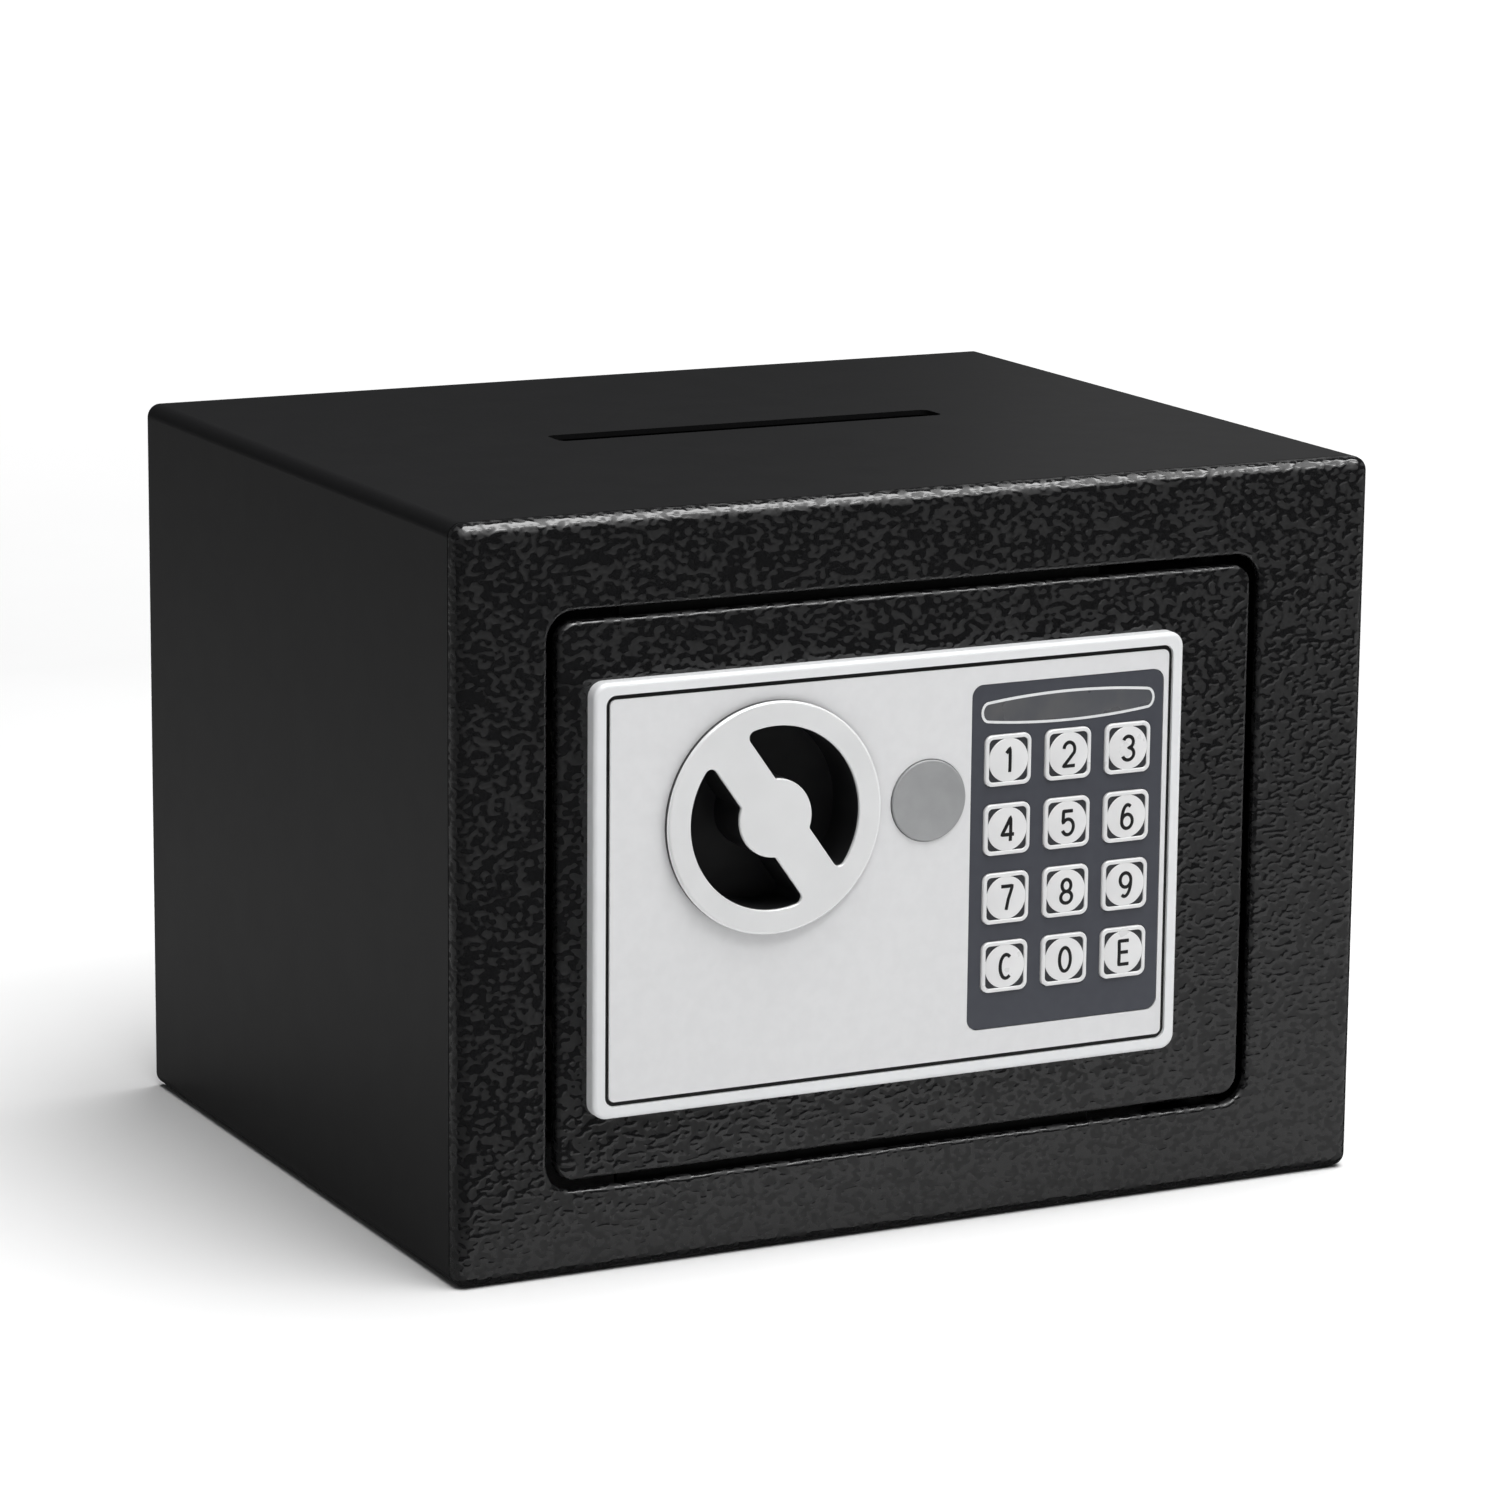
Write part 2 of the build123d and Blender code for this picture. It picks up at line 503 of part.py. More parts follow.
def solenoid_plunger():
    """The latch pin: collar for its spring, and the cross pin that the emergency cam works on."""
    plunger = upright(PLUNGER_X, PLUNGER_LEVEL, PLUNGER_R, SOLENOID_BOTTOM - 2, PLUNGER_TIP_Z)
    plunger += upright(PLUNGER_X, PLUNGER_LEVEL, 5, SOLENOID_TOP + 2.2, SOLENOID_TOP + 3.2)
    return plunger + rod(PLUNGER_X, SOLENOID_TOP + 4.2, 0.9, PLUNGER_LEVEL, 21.6)


def plunger_spring():
    """The return spring, shown squeezed between the solenoid and the plunger's collar."""
    wire_r, turns, coil_r, length = 0.22, 3, 4.0, 2.1
    rise = length - 2 * wire_r
    path = Helix(pitch=rise / turns, height=rise, radius=coil_r)
    start = Plane(origin=path @ 0, z_dir=path % 0)
    coil = sweep(start * Circle(wire_r), path=path, is_frenet=True)
    return Pos(PLUNGER_X, FRONT_Y + PLUNGER_LEVEL, SOLENOID_TOP + wire_r + 0.05) * coil


# ---------------------------------------------------------------- emergency lock
def lock_barrel():
    """The fixed barrel of the key lock, with a flange in front of the door."""
    barrel = rod(LOCK_X, LOCK_Z, 7.5, -0.9, 19) + rod(LOCK_X, LOCK_Z, 8.5, -0.9, 0)
    return barrel - rod(LOCK_X, LOCK_Z, 4.55, -2, 20)


def lock_nut():
    return hexagon(LOCK_X, LOCK_Z, 20, DOOR_T, 6) - rod(LOCK_X, LOCK_Z, 7.5, 2, 7)


def key_plug():
    """The turning plug with its keyway, and a reduced tail that carries the cam."""
    plug = rod(LOCK_X, LOCK_Z, 4.5, -0.8, 19.6) + rod(LOCK_X, LOCK_Z, 3, 19.6, 22.9)
    return plug - slab(Pos(LOCK_X, LOCK_Z) * Rectangle(1.4, 6.5), -2, 12)


def lock_cam():
    """The emergency cam: an arm that points right at rest and down when the key is turned."""
    arm = Pos(LOCK_X, LOCK_Z) * Circle(6) + Pos(LOCK_X + CAM_ARM_L / 2, LOCK_Z) * Rectangle(CAM_ARM_L, 8)
    return slab(arm - Pos(LOCK_X, LOCK_Z) * Circle(3), CAM_ARM_NEAR, CAM_ARM_FAR)


def keyhole_cap():
    """The plug that hides the keyhole, with a shallow dished face."""
    front, dish, dish_r = -4.0, 0.6, 8.9
    sphere_r = (dish_r**2 + dish**2) / (2 * dish)
    head = rod(LOCK_X, LOCK_Z, CAP_R, front, TAPE_BACK - 0.05)
    head = fillet(edges_at(head, front), 0.3)
    head -= Pos(LOCK_X, FRONT_Y + front + dish - sphere_r, LOCK_Z) * Sphere(sphere_r)
    return head + rod(LOCK_X, LOCK_Z, CAP_STEM_R, TAPE_BACK - 0.1, -1.2)


# ---------------------------------------------------------------- inner cover and batteries
def cover_posts():
    """Four studs welded to the door that carry the inner cover."""
    top = COVER_BACK - COVER_T
    return group(*[rod(x, z, 3, DOOR_T, top) - rod(x, z, 1.25, top - 9, top + 1) for x, z in COVER_POSTS])


def inner_cover():
    """The box over the lock work, open to the door, with a battery hatch and holes for the bolts."""
    cover = slab(panel(COVER_X, COVER_Z, COVER_W, COVER_H, 4), DOOR_T, COVER_BACK)
    cover = fillet(edges_at(cover, COVER_BACK), 1.2)
    inside = panel(COVER_X, COVER_Z, COVER_W - 2 * COVER_T, COVER_H - 2 * COVER_T, 2.5)
    cover -= slab(inside, DOOR_T - 1, COVER_BACK - COVER_T)
    left = COVER_X - COVER_W / 2
    for z in BOLT_ZS:
        cover -= crossbar(BOLT_LEVEL, z, BOLT_R + 0.6, left - 1, left + COVER_T + 1)
    cover -= slab(panel(BATTERY_X, BATTERY_Z, TRAY_W + 0.4, TRAY_H + 0.4, 2), 37, 41)
    cover -= rod(RESET_X, RESET_Z, RESET_R + 0.2, 37, 41)
    for x, z in COVER_POSTS:
        cover -= rod(x, z, 1.5, 37, 41)
    return cover


def cover_screws():
    return group(
        *[rod(x, z, 1.25, 31, COVER_BACK) + rod(x, z, 3, COVER_BACK, COVER_BACK + 1.6) for x, z in COVER_POSTS]
    )


def battery_tray():
    """The open tray for four cells."""
    tray = slab(panel(BATTERY_X, BATTERY_Z, TRAY_W, TRAY_H, 2), TRAY_NEAR, TRAY_FAR)
    inside = panel(BATTERY_X, BATTERY_Z, TRAY_W - 2 * TRAY_T, TRAY_H - 2 * TRAY_T, 1)
    return tray - slab(inside, TRAY_NEAR + TRAY_T, TRAY_FAR + 1)


def cell_heights():
    return [BATTERY_Z + (n - 1.5) * CELL_PITCH for n in range(4)]


def batteries():
    """Four cells laid side by side, each turned the other way from its neighbour."""
    cells = []
    for n, z in enumerate(cell_heights()):
        flip = 1 if n % 2 else -1
        x0, x1 = BATTERY_X - CELL_L / 2, BATTERY_X + CELL_L / 2
        can = crossbar(TRAY_NEAR + TRAY_T + CELL_R + 0.1, z, CELL_R, x0 + 0.7, x1 - 0.7)
        end = x1 - 0.7 if flip > 0 else x0
        can += crossbar(TRAY_NEAR + TRAY_T + CELL_R + 0.1, z, 2.7, end, end + 0.7)
        cells.append(can)
    return group(*cells)


def battery_contacts():
    """A spring plate and a flat plate at the ends of each cell."""
    wall = BATTERY_X + TRAY_W / 2 - TRAY_T
    plates = []
    for z in cell_heights():
        for x0 in (wall - 0.5, 2 * BATTERY_X - wall):
            plates.append(block(x0, x0 + 0.5, 26, 36, z - 5, z + 5))
    return group(*plates)


def battery_cover():
    """The hatch over the batteries, with a finger ridge."""
    hatch = slab(panel(BATTERY_X, BATTERY_Z, TRAY_W, TRAY_H, 2), TRAY_FAR + 0.1, COVER_BACK)
    ridge = slab(panel(BATTERY_X, BATTERY_Z + TRAY_H / 2 - 6, 18, 2.4, 1), COVER_BACK, COVER_BACK + 1.4)
    return hatch + ridge


def reset_button():
    """The programming button: its stem reaches through the inner cover to a switch on the board."""
    button = rod(RESET_X, RESET_Z, RESET_R, 34, COVER_BACK + 2)
    button = fillet(edges_at(button, COVER_BACK + 2), 0.6) + rod(RESET_X, RESET_Z, RESET_R + 1, 36.4, 37.4)
    return button + rod(RESET_X, RESET_Z, 1.6, 7.4, 34)


def lead(points, radii):
    """A round lead along straight runs joined by arcs."""
    path = FilletPolyline(*[(x, FRONT_Y + level, z) for x, level, z in points], radius=radii)
    start = Plane(origin=path @ 0, z_dir=path % 0)
    return sweep(start * Circle(0.8), path=path)


def wire_leads():
    """The battery's lead and the solenoid's lead, both to the back of the board."""
    battery = lead([(22, TRAY_NEAR, 84), (22, 14, 84), (20, 14, 112), (20, 8, 112)], 2.5)
    coil = lead([(5.85, 15.55, 58), (14, 15.55, 58), (23, 11, 62), (23, 3.3, 62)], 2.5)
    return group(battery, coil)


# ---------------------------------------------------------------- export
PARTS = [
    cabinet_wrap, back_panel, front_frame, hinge_lugs, hinge_rod, hinge_spacer, door_stops, floor_mat,
    door_plate, hinge_knuckles, panel_bezel, fascia_tape, fascia_plate, keypad_overlay, status_window,
    keypad_mat, circuit_board, board_parts, bezel_screws,
    knob_body, knob_trim, knob_spindle, knob_bridge, drive_cam, spindle_screw,
    bolt_carriage, locking_bolts, bolt_guide, carriage_posts, carriage_screws,
    solenoid_frame, solenoid_coil, solenoid_plunger, plunger_spring,
    lock_barrel, lock_nut, key_plug, lock_cam, keyhole_cap,
    cover_posts, inner_cover, cover_screws, battery_tray, batteries, battery_contacts, battery_cover,
    reset_button, wire_leads,
]  # fmt: skip

os.makedirs("parts", exist_ok=True)
for make in PARTS:
    export_step(make(), f"parts/{make.__name__}.step")
for name, x, z in key_places():
    export_step(key(x, z), f"parts/key_{name}.step")
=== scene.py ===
"""Looks for the coin bank safe: finishes, moulded keys, printed digits, felt mat, studio.

Lengths are in millimetres up to the studio. There they are in metres, as they are in the frame.
"""

import json
import math

import bmesh
import bpy
from mathutils import Matrix, Vector


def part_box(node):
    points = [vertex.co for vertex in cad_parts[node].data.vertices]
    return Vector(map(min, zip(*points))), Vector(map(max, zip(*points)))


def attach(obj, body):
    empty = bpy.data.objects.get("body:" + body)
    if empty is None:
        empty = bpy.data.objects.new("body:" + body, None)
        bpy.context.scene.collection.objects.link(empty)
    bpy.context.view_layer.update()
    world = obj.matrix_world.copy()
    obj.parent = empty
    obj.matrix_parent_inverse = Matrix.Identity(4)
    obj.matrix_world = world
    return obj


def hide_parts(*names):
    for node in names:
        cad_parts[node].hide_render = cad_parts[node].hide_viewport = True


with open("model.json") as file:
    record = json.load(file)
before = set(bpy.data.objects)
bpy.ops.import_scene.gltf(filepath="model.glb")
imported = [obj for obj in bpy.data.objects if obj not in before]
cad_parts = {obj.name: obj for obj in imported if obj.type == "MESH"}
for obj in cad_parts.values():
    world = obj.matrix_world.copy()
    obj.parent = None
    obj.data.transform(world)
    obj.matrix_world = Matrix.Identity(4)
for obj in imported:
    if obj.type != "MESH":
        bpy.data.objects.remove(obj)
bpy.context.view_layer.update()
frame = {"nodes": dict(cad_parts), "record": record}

NODES = frame["nodes"]
MM = 0.001

# The part of a noise's range over which each effect goes from none to full.
MOTTLE_RANGE = (0.35, 0.65)
WEAR_RANGE = (0.3, 0.7)
PIT_RANGE = (0.38, 0.56)
WEAR_PER_MM = 0.11
RIPPLE_STRETCH = (1.0, 1.0, 1.45)


# ---------------------------------------------------------------- finishes
def millimetre_coordinates(tree):
    """Object coordinates in millimetres, so texture scales read as features per millimetre."""
    coordinates = tree.nodes.new("ShaderNodeTexCoord")
    scaled = tree.nodes.new("ShaderNodeVectorMath")
    scaled.operation = "SCALE"
    scaled.inputs["Scale"].default_value = 1000.0
    tree.links.new(coordinates.outputs["Object"], scaled.inputs[0])
    return scaled.outputs["Vector"]


def stretched(tree, vector, stretch):
    """The coordinates squeezed or drawn out along each axis."""
    node = tree.nodes.new("ShaderNodeVectorMath")
    node.operation = "MULTIPLY"
    node.inputs[1].default_value = stretch
    tree.links.new(vector, node.inputs[0])
    return node.outputs["Vector"]


def noise_value(tree, vector, per_mm, detail=2.0, roughness=0.5, distortion=0.0):
    node = tree.nodes.new("ShaderNodeTexNoise")
    node.inputs["Scale"].default_value = per_mm
    node.inputs["Detail"].default_value = detail
    node.inputs["Roughness"].default_value = roughness
    node.inputs["Distortion"].default_value = distortion
    tree.links.new(vector, node.inputs["Vector"])
    return node.outputs["Fac"]


def ripple_value(tree, vector, per_mm, detail):
    """The orange-peel ripple of hammer paint, wider than it is high."""
    wide = stretched(tree, vector, RIPPLE_STRETCH)
    return noise_value(tree, wide, per_mm, detail=detail, distortion=0.15)


def remap(tree, value, low, high, to_low, to_high):
    """The value carried from one range to another, and held at the ends."""
    node = tree.nodes.new("ShaderNodeMapRange")
    ends = {"From Min": low, "From Max": high, "To Min": to_low, "To Max": to_high}
    for name, number in ends.items():
        node.inputs[name].default_value = number
    tree.links.new(value, node.inputs["Value"])
    return node.outputs["Result"]


def finish(
    name,
    colour,
    roughness,
    metallic=0.0,
    specular=0.5,
    coat=0.0,
    coat_roughness=0.1,
    bumps=(),
    mottle=None,
    rough_spread=0.0,
    stretch=None,
    sheen=0.0,
    dull_pits=None,
):
    """A procedural finish.

    bumps: (kind, features per mm, height in mm, detail) for each. mottle: (second colour, features per mm).
    rough_spread varies the roughness slowly. stretch draws the pattern out, as for brushed metal.
    dull_pits: the roughness at the bottom and top of the ripples, in place of roughness.
    """
    material = bpy.data.materials.new(name)
    material.use_nodes = True
    tree = material.node_tree
    shader = tree.nodes["Principled BSDF"]
    shader.inputs["Roughness"].default_value = roughness
    shader.inputs["Metallic"].default_value = metallic
    shader.inputs["Specular IOR Level"].default_value = specular
    shader.inputs["Coat Weight"].default_value = coat
    shader.inputs["Coat Roughness"].default_value = coat_roughness
    shader.inputs["Sheen Weight"].default_value = sheen
    shader.inputs["Base Color"].default_value = (*colour, 1.0)
    vector = millimetre_coordinates(tree)
    if stretch:
        vector = stretched(tree, vector, stretch)
    if mottle:
        second, per_mm = mottle
        mix = tree.nodes.new("ShaderNodeMix")
        mix.data_type = "RGBA"
        mix.inputs["A"].default_value = (*colour, 1.0)
        mix.inputs["B"].default_value = (*second, 1.0)
        cloud = noise_value(tree, vector, per_mm, detail=3.0)
        tree.links.new(remap(tree, cloud, *MOTTLE_RANGE, 0.0, 1.0), mix.inputs["Factor"])
        tree.links.new(mix.outputs["Result"], shader.inputs["Base Color"])
    if rough_spread:
        cloud = noise_value(tree, vector, WEAR_PER_MM, detail=4.0)
        spread = remap(tree, cloud, *WEAR_RANGE, roughness - rough_spread, roughness + rough_spread)
        tree.links.new(spread, shader.inputs["Roughness"])
    normal = None
    for kind, per_mm, height, detail in bumps:
        if kind == "ripples":
            value = ripple_value(tree, vector, per_mm, detail)
            if dull_pits:
                dulled = remap(tree, value, *PIT_RANGE, *dull_pits)
                tree.links.new(dulled, shader.inputs["Roughness"])
        else:
            value = noise_value(tree, vector, per_mm, detail=detail, distortion=0.25)
        bump = tree.nodes.new("ShaderNodeBump")
        bump.inputs["Strength"].default_value = 1.0
        bump.inputs["Distance"].default_value = height * MM
        tree.links.new(value, bump.inputs["Height"])
        if normal:
            tree.links.new(normal, bump.inputs["Normal"])
        normal = bump.outputs["Normal"]
    if normal:
        tree.links.new(normal, shader.inputs["Normal"])
        if coat:
            tree.links.new(normal, shader.inputs["Coat Normal"])
    return material


FINE_GRAIN = ("noise", 3.0, 0.004, 2.0)
FINISHES = {
    # Near-black steel with little shine for parts seen through the door gap: partly a real dark finish,
    # partly painted shade that keeps the gap as dark as its shade.
    "black_oxide_steel": finish(
        "black_oxide_steel", (0.004, 0.004, 0.004), 0.7, specular=0.12,
        bumps=[("noise", 2.0, 0.006, 2.0)], mottle=((0.006, 0.006, 0.006), 0.4),
    ),
    "satin_black_steel": finish(
        "satin_black_steel", (0.0062, 0.0062, 0.0066), 0.34, specular=0.42,
        bumps=[("noise", 0.9, 0.008, 2.0), ("noise", 5.0, 0.002, 1.0)],
        mottle=((0.0070, 0.0070, 0.0074), 0.6), rough_spread=0.012,
    ),
    "hammer_black_steel": finish(
        "hammer_black_steel", (0.0052, 0.0052, 0.0055), 0.17, specular=0.85,
        bumps=[("ripples", 0.56, 0.23, 0.0)], dull_pits=(0.60, 0.13),
        mottle=((0.0060, 0.0060, 0.0064), 0.5),
    ),
    "grey_coat": finish(
        "grey_coat", (0.03, 0.03, 0.032), 0.4,
        bumps=[("noise", 1.1, 0.012, 2.0)], mottle=((0.04, 0.04, 0.042), 0.2),
    ),
    "plated_steel": finish(
        "plated_steel", (0.60, 0.58, 0.53), 0.30, metallic=1.0,
        bumps=[("noise", 1.6, 0.004, 3.0)], mottle=((0.66, 0.66, 0.62), 0.25), rough_spread=0.08,
        stretch=(1.0, 1.0, 0.35),
    ),
    "silver_plastic": finish(
        "silver_plastic", (0.80, 0.81, 0.82), 0.34, metallic=0.08, specular=0.5,
        mottle=((0.78, 0.79, 0.80), 0.1), rough_spread=0.02,
    ),
    "black_plastic": finish(
        "black_plastic", (0.012, 0.012, 0.013), 0.36,
        bumps=[("noise", 4.5, 0.006, 2.0)], mottle=((0.016, 0.016, 0.017), 0.2), rough_spread=0.05,
    ),
    # Painted shade: near-black matte for the pieces laid at the bottom of grooves and gaps, so that they
    # read as dark as their shade.
    "groove_black": finish(
        "groove_black", (0.004, 0.004, 0.004), 0.6,
        bumps=[FINE_GRAIN], mottle=((0.006, 0.006, 0.006), 0.5),
    ),
    "fascia_silver": finish(
        "fascia_silver", (0.72, 0.722, 0.73), 0.42, metallic=0.05, specular=0.4,
        bumps=[("noise", 3.2, 0.002, 2.0)], mottle=((0.70, 0.702, 0.71), 0.35), rough_spread=0.03,
    ),
    "overlay_slate": finish(
        "overlay_slate", (0.056, 0.060, 0.074), 0.46, bumps=[("noise", 5.0, 0.003, 2.0)],
        mottle=((0.052, 0.055, 0.069), 0.4), rough_spread=0.04,
    ),
    "window_slate": finish(
        "window_slate", (0.082, 0.085, 0.095), 0.28, bumps=[("noise", 2.0, 0.003, 2.0)],
        mottle=((0.105, 0.105, 0.108), 0.12), rough_spread=0.04,
    ),
    "key_silver": finish(
        "key_silver", (0.80, 0.80, 0.80), 0.30, metallic=0.12, specular=0.55,
        mottle=((0.78, 0.78, 0.785), 0.15), rough_spread=0.03,
    ),
    "rubber_black": finish(
        "rubber_black", (0.02, 0.02, 0.02), 0.7,
        bumps=[("noise", 3.0, 0.02, 3.0)], mottle=((0.028, 0.028, 0.028), 0.4),
    ),
    "board_green": finish(
        "board_green", (0.012, 0.10, 0.035), 0.35, coat=0.4, bumps=[("noise", 1.5, 0.02, 1.0)],
        mottle=((0.02, 0.14, 0.05), 0.6),
    ),
    "board_black": finish(
        "board_black", (0.015, 0.015, 0.016), 0.45,
        bumps=[("noise", 5.0, 0.01, 2.0)], mottle=((0.03, 0.03, 0.03), 0.8),
    ),
    "knob_chrome": finish(
        "knob_chrome", (0.92, 0.925, 0.93), 0.24, metallic=0.25, specular=0.7,
        mottle=((0.88, 0.885, 0.89), 0.08), rough_spread=0.03,
    ),
    "cap_grey": finish(
        "cap_grey", (0.34, 0.345, 0.35), 0.42, metallic=0.1,
        bumps=[("noise", 3.0, 0.004, 2.0)], mottle=((0.31, 0.315, 0.32), 0.18), rough_spread=0.04,
    ),
    "brass_lock": finish(
        "brass_lock", (0.62, 0.45, 0.20), 0.28, metallic=1.0,
        bumps=[("noise", 2.0, 0.004, 3.0)], mottle=((0.55, 0.39, 0.17), 0.4), rough_spread=0.08,
    ),
    "copper_coil": finish(
        "copper_coil", (0.45, 0.19, 0.06), 0.35, metallic=0.7,
        bumps=[("noise", 6.0, 0.03, 0.0)], mottle=((0.36, 0.14, 0.05), 0.8), stretch=(0.1, 0.1, 1.0),
    ),
    "battery_sleeve": finish(
        "battery_sleeve", (0.05, 0.055, 0.065), 0.25, coat=0.5,
        bumps=[("noise", 0.8, 0.01, 1.0)], mottle=((0.065, 0.07, 0.08), 0.3),
    ),
    "button_red": finish(
        "button_red", (0.42, 0.012, 0.012), 0.28, coat=0.2,
        bumps=[FINE_GRAIN], mottle=((0.38, 0.010, 0.010), 0.3),
    ),
    "wire_red": finish(
        "wire_red", (0.35, 0.012, 0.010), 0.4, bumps=[FINE_GRAIN], mottle=((0.30, 0.010, 0.010), 0.5),
    ),
    "felt": finish(
        "felt", (0.022, 0.022, 0.024), 0.95, specular=0.1, sheen=0.6,
        bumps=[("noise", 1.8, 0.25, 6.0), ("noise", 7.0, 0.08, 4.0)], mottle=((0.045, 0.045, 0.048), 1.6),
    ),
}
KEY_RECESS = finish(
    "key_recess", (0.035, 0.036, 0.042), 0.5, bumps=[FINE_GRAIN], mottle=((0.028, 0.029, 0.033), 0.6),
)
PRINT_BLACK = finish(
    "print_black", (0.006, 0.006, 0.007), 0.45, bumps=[FINE_GRAIN], mottle=((0.009, 0.009, 0.009), 0.8),
)
PRINT_WHITE = finish(
    "print_white", (0.74, 0.75, 0.75), 0.5, bumps=[FINE_GRAIN], mottle=((0.68, 0.69, 0.70), 0.5),
)

for entry in frame["record"]["subparts"]:
    node = NODES[entry["node"]]
    node.data.materials.clear()
    node.data.materials.append(FINISHES[entry["material_slot"]])


# ---------------------------------------------------------------- mesh helpers
def new_piece(name, mesh, material, body):
    """A shown mesh that rides on a body."""
    piece = bpy.data.objects.new(name, mesh)
    bpy.context.scene.collection.objects.link(piece)
    mesh.materials.append(material)
    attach(piece, body)
    return piece


def mesh_from(name, vertices, faces, smooth=True):
    mesh = bpy.data.meshes.new(name)
    mesh.from_pydata(vertices, [], faces)
    mesh.validate()
    mesh.update()
    if smooth:
        mesh.shade_smooth()
    return mesh


def rounded_loop(width, height, radius, per_corner=8):
    """Points of a rounded rectangle round the origin, anticlockwise seen from the front."""
    points = []
    for corner, (sx, sz) in enumerate(((1, 1), (-1, 1), (-1, -1), (1, -1))):
        cx, cz = sx * (width / 2 - radius), sz * (height / 2 - radius)
        for step in range(per_corner + 1):
            angle = math.radians(90 * corner + 90 * step / per_corner)
            points.append((cx + radius * math.cos(angle), cz + radius * math.sin(angle)))
    return points


def round_loop(radius, count=48):
    """Points of a circle round the origin."""
    turns = [2 * math.pi * step / count for step in range(count)]
    return [(radius * math.cos(turn), radius * math.sin(turn)) for turn in turns]


def stacked(name, loops, centre, cap_first=True, cap_last=True):
    """A skin through equal-length loops, each (points, y), placed round centre (x, z)."""
    vertices, faces = [], []
    count = len(loops[0][0])
    for points, y in loops:
        vertices += [((centre[0] + x) * MM, y * MM, (centre[1] + z) * MM) for x, z in points]
    for ring in range(len(loops) - 1):
        for step in range(count):
            a, b = ring * count + step, ring * count + (step + 1) % count
            faces.append((a, b, b + count, a + count))
    if cap_first:
        faces.append(tuple(reversed(range(count))))
    if cap_last:
        start = (len(loops) - 1) * count
        faces.append(tuple(range(start, start + count)))
    mesh = mesh_from(name, vertices, faces)
    work = bmesh.new()
    work.from_mesh(mesh)
    bmesh.ops.recalc_face_normals(work, faces=work.faces)
    work.to_mesh(mesh)
    work.free()
    mesh.set_sharp_from_angle(angle=math.radians(35))
    return mesh


def node_centre(name):
    """(x, z) of a node's middle, in millimetres."""
    low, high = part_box(name)
    return (low[0] + high[0]) / 2 / MM, (low[2] + high[2]) / 2 / MM


def node_front(name):
    """The y of a node's front, in millimetres."""
    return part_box(name)[0][1] / MM


# ---------------------------------------------------------------- keys
KEY_SIZE, KEY_CORNER, KEY_BORDER = 11.8, 1.9, 0.95
DOME_R, DOME_RISE = 5.05, 0.40
RIM_SETBACK = 0.32
DIGIT_W, DIGIT_H, STROKE_R = 3.1, 5.5, 0.43
STROKE_FLATNESS = 0.16


def arc(cx, cz, rx, rz, start, end, step=12):
    """Points along part of an ellipse, angles in degrees."""
    count = max(2, int(abs(end - start) / step))
    angles = [math.radians(start + (end - start) * n / count) for n in range(count + 1)]
    return [(cx + rx * math.cos(a), cz + rz * math.sin(a)) for a in angles]


def resampled(stroke, step=0.06):
    """The stroke with points close enough together to follow the dome."""
    points = [stroke[0]]
    for (x0, z0), (x1, z1) in zip(stroke, stroke[1:]):
        count = max(1, math.ceil(math.hypot(x1 - x0, z1 - z0) / step))
        points += [(x0 + (x1 - x0) * n / count, z0 + (z1 - z0) * n / count) for n in range(1, count + 1)]
    return points


SIX = [arc(0.05, -0.17, 0.5, 0.67, 62, 180), arc(0.0, -0.2, 0.45, 0.3, 0, 360)]
GLYPHS = {
    "1": [[(-0.24, 0.30), (0.06, 0.5), (0.06, -0.5)]],
    "2": [arc(0, 0.2, 0.45, 0.3, 172, -28) + [(-0.46, -0.5), (0.5, -0.5)]],
    "3": [arc(-0.03, 0.26, 0.42, 0.24, 158, -90) + arc(-0.03, -0.24, 0.48, 0.26, 90, -160)],
    "4": [[(0.22, -0.5), (0.22, 0.5), (-0.5, -0.22), (0.5, -0.22)]],
    "5": [[(0.42, 0.5), (-0.36, 0.5), (-0.42, 0.02)] + arc(0.0, -0.17, 0.47, 0.33, 140, -155)],
    "6": SIX,
    "7": [[(-0.46, 0.5), (0.48, 0.5), (0.12, -0.05), (-0.02, -0.5)]],
    "8": [arc(0, 0.25, 0.37, 0.25, -90, 270), arc(0, -0.25, 0.46, 0.25, 90, 450)],
    "9": [[(-x, -z) for x, z in stroke] for stroke in SIX],
    "0": [arc(0, 0, 0.46, 0.5, 90, 450)],
    "c": [arc(0.06, 0, 0.5, 0.5, 52, 308)],
    "e": [[(0.42, 0.5), (-0.4, 0.5), (-0.4, -0.5), (0.44, -0.5)], [(-0.4, 0.02), (0.34, 0.02)]],
}


def dome_y(x, z, rim_y):
    """Height of a key's domed top at a point measured from its middle."""
    return rim_y - DOME_RISE * max(0.0, 1 - (x * x + z * z) / DOME_R**2)


def glyph_mesh(name, strokes, centre, rim_y):
    """Strokes as round wires pressed flat on the key's dome."""
    curve = bpy.data.curves.new(name, "CURVE")
    curve.dimensions = "3D"
    curve.bevel_depth = STROKE_R
    curve.bevel_resolution = 3
    curve.use_fill_caps = True
    for stroke in strokes:
        closed = math.dist(stroke[0], stroke[-1]) < 1e-6
        points = resampled(stroke)
        if closed:
            points.pop()
        spline = curve.splines.new("POLY")
        spline.points.add(len(points) - 1)
        spline.use_cyclic_u = closed
        for point, (x, z) in zip(spline.points, points):
            point.co = (x * DIGIT_W, 0.0, z * DIGIT_H, 1.0)
    wire = bpy.data.objects.new(name + "_wire", curve)
    mesh = bpy.data.meshes.new_from_object(wire)
    mesh.name = name
    bpy.data.objects.remove(wire)
    for vertex in mesh.vertices:
        x, y, z = vertex.co
        lifted = dome_y(x, z, rim_y) + y * STROKE_FLATNESS
        vertex.co = ((centre[0] + x) * MM, lifted * MM, (centre[1] + z) * MM)
    mesh.shade_smooth()
    return mesh


